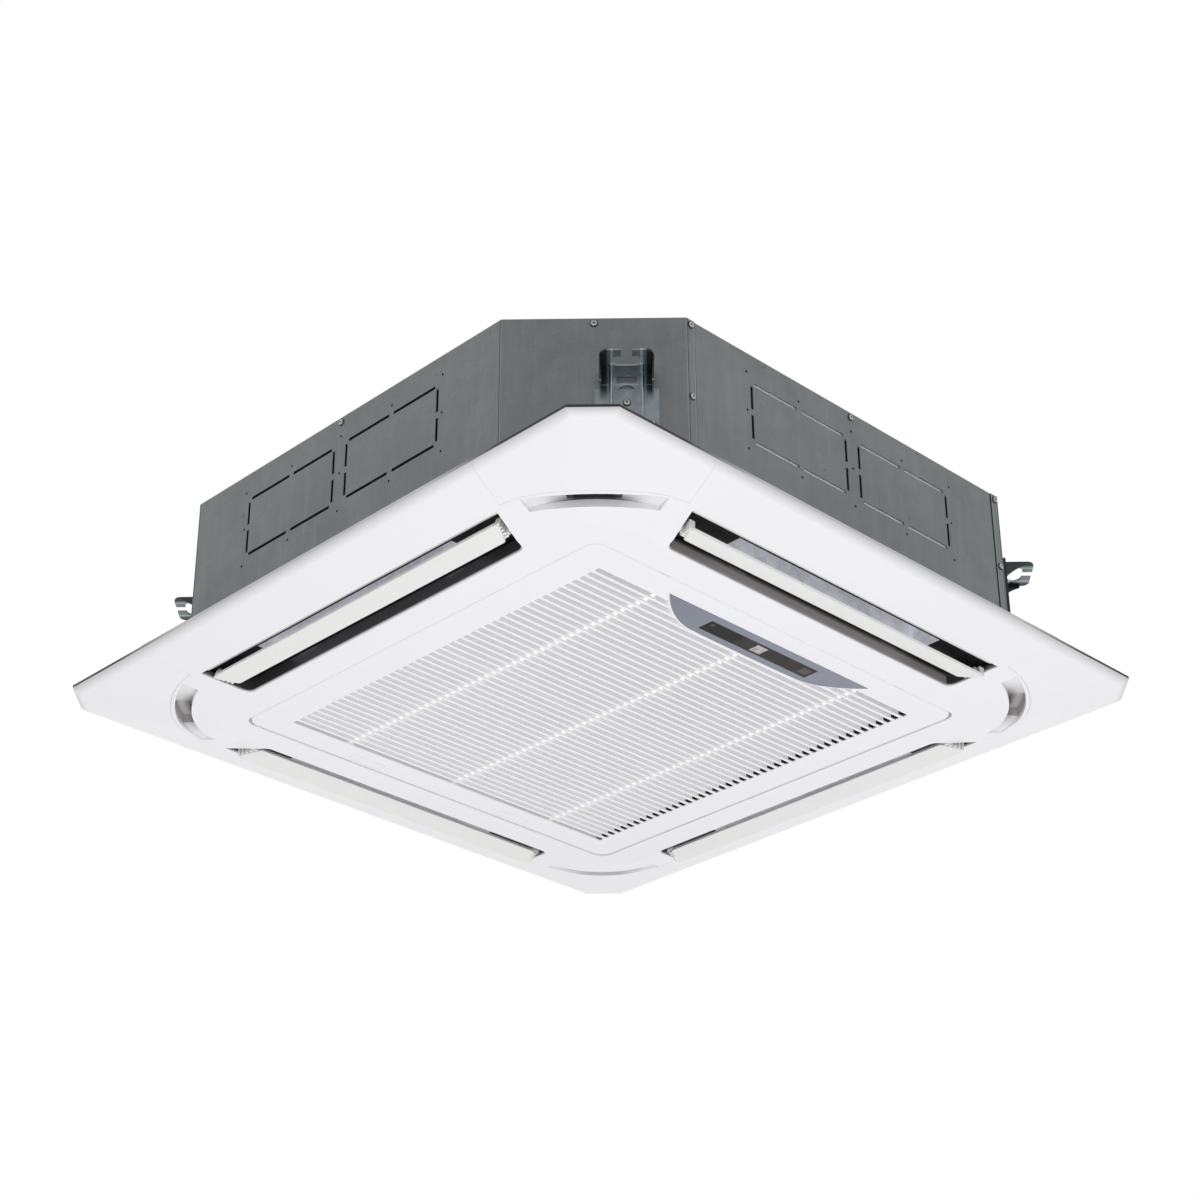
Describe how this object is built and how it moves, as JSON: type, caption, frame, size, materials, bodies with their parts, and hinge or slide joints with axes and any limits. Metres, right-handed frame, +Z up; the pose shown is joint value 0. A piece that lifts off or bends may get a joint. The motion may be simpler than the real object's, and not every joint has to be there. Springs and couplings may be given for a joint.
{
  "type": "ceiling cassette air conditioner",
  "caption": "Square ceiling cassette air conditioner: a galvanised body above the ceiling, a white moulded panel below with an outlet flap on each side and a hinged slatted intake grille.",
  "frame": {"origin": "on the fan's axis, at the height of the ceiling's lower face, where the panel's rim seats", "axes": "+Z up into the ceiling void, -Y towards the edge with the display, +X to the right as seen from below with the display's edge away from the viewer"},
  "size_m": [0.95, 0.95, 0.2505],
  "materials": {
    "galvanised_sheet": "satin, spangled",
    "galvanised_bracket": "satin",
    "screw_steel": "satin",
    "foam": "matte foam",
    "foil_foam": "matte foam faced with grey foil",
    "copper": "bare copper",
    "nut_brass": "satin",
    "seal_rubber": "matte",
    "motor_steel": "satin",
    "fan_plastic": "matte",
    "coil_aluminium": "thin fins",
    "ring_plastic": "matte",
    "terminal_plastic": "matte",
    "pump_plastic": "matte",
    "drain_plastic": "matte",
    "panel_white": "fine satin moulding",
    "flap_cream": "fine grain",
    "display_grey": "satin",
    "window_dark": "smoked, glossy",
    "lamp_clear": "clear",
    "filter_grey": "matte",
    "net": "woven"
  },
  "bodies": {
    "unit": {"cable_seal": "seal_rubber", "casing_screws": "screw_steel", "coil_bends": "copper", "coil_end_plates": "galvanised_bracket", "coil_fins": "coil_aluminium", "control_box": "galvanised_bracket", "control_cover": "galvanised_bracket", "corner_cover_1": "panel_white", "corner_cover_2": "panel_white", "corner_cover_3": "panel_white", "corner_cover_4": "panel_white", "drain_outlet": "drain_plastic", "drain_pan": "foil_foam", "drain_pump": "pump_plastic", "fan_motor": "motor_steel", "float_stem": "pump_plastic", "gas_nut": "nut_brass", "gas_pipe": "copper", "hanger_1": "galvanised_bracket", "hanger_2": "galvanised_bracket", "hanger_3": "galvanised_bracket", "hanger_4": "galvanised_bracket", "hanger_screws": "screw_steel", "hinge_pins": "screw_steel", "inlet_ring": "ring_plastic", "liner": "foam", "liquid_nut": "nut_brass", "liquid_pipe": "copper", "louvre_motors": "terminal_plastic", "motor_bushes": "seal_rubber", "motor_mount": "galvanised_sheet", "panel_frame": "panel_white", "panel_gasket": "foam", "panel_lugs": "galvanised_bracket", "panel_screws": "screw_steel", "pipe_plate": "galvanised_bracket", "side_sheet_front": "galvanised_sheet", "side_sheet_left": "galvanised_sheet", "side_sheet_rear": "galvanised_sheet", "side_sheet_right": "galvanised_sheet", "terminal_block": "terminal_plastic", "top_plate": "galvanised_sheet"},
    "fan": {"motor_shaft": "screw_steel", "fan_wheel": "fan_plastic", "fan_shroud": "fan_plastic", "fan_nut": "screw_steel"},
    "louvre_1": {"louvre_1": "flap_cream"},
    "louvre_2": {"louvre_2": "flap_cream"},
    "louvre_3": {"louvre_3": "flap_cream"},
    "louvre_4": {"louvre_4": "flap_cream"},
    "grille": {"intake_grille": "panel_white", "filter_frame": "filter_grey", "filter_net": "net", "display_bezel": "display_grey", "display_window": "window_dark", "display_lamps": "lamp_clear"},
    "latch_left": {"latch_left": "panel_white"},
    "latch_right": {"latch_right": "panel_white"},
    "float": {"float_ring": "pump_plastic"},
    "impeller": {"pump_impeller": "pump_plastic"}
  },
  "joints": [
    {"name": "fan_spin", "type": "hinge", "parent": "unit", "child": "fan", "pos_m": [0, 0, 0.1], "axis": [0, 0, 1], "continuous": true},
    {"name": "louvre_1_swing", "type": "hinge", "parent": "unit", "child": "louvre_1", "pos_m": [0, -0.376, -0.0265], "axis": [1, 0, 0], "range_deg": [-20, 35]},
    {"name": "louvre_2_swing", "type": "hinge", "parent": "unit", "child": "louvre_2", "pos_m": [0.376, 0, -0.0265], "axis": [0, 1, 0], "range_deg": [-20, 35]},
    {"name": "louvre_3_swing", "type": "hinge", "parent": "unit", "child": "louvre_3", "pos_m": [0, 0.376, -0.0265], "axis": [-1, 0, 0], "range_deg": [-20, 35]},
    {"name": "louvre_4_swing", "type": "hinge", "parent": "unit", "child": "louvre_4", "pos_m": [-0.376, 0, -0.0265], "axis": [0, -1, 0], "range_deg": [0, 55]},
    {"name": "grille_hinge", "type": "hinge", "parent": "unit", "child": "grille", "pos_m": [0, -0.304, -0.036], "axis": [-1, 0, 0], "range_deg": [0, 90]},
    {"name": "latch_left_press", "type": "slide", "parent": "grille", "child": "latch_left", "axis": [0, 0, 1], "range_m": [0, 0.003], "stiffness_N_per_m": 300},
    {"name": "latch_right_press", "type": "slide", "parent": "grille", "child": "latch_right", "axis": [0, 0, 1], "range_m": [0, 0.003], "stiffness_N_per_m": 300},
    {"name": "float_slide", "type": "slide", "parent": "unit", "child": "float", "axis": [0, 0, 1], "range_m": [0, 0.012]},
    {"name": "pump_spin", "type": "hinge", "parent": "unit", "child": "impeller", "pos_m": [0.225, 0.343, 0.06], "axis": [0, 0, 1], "continuous": true}
  ]
}
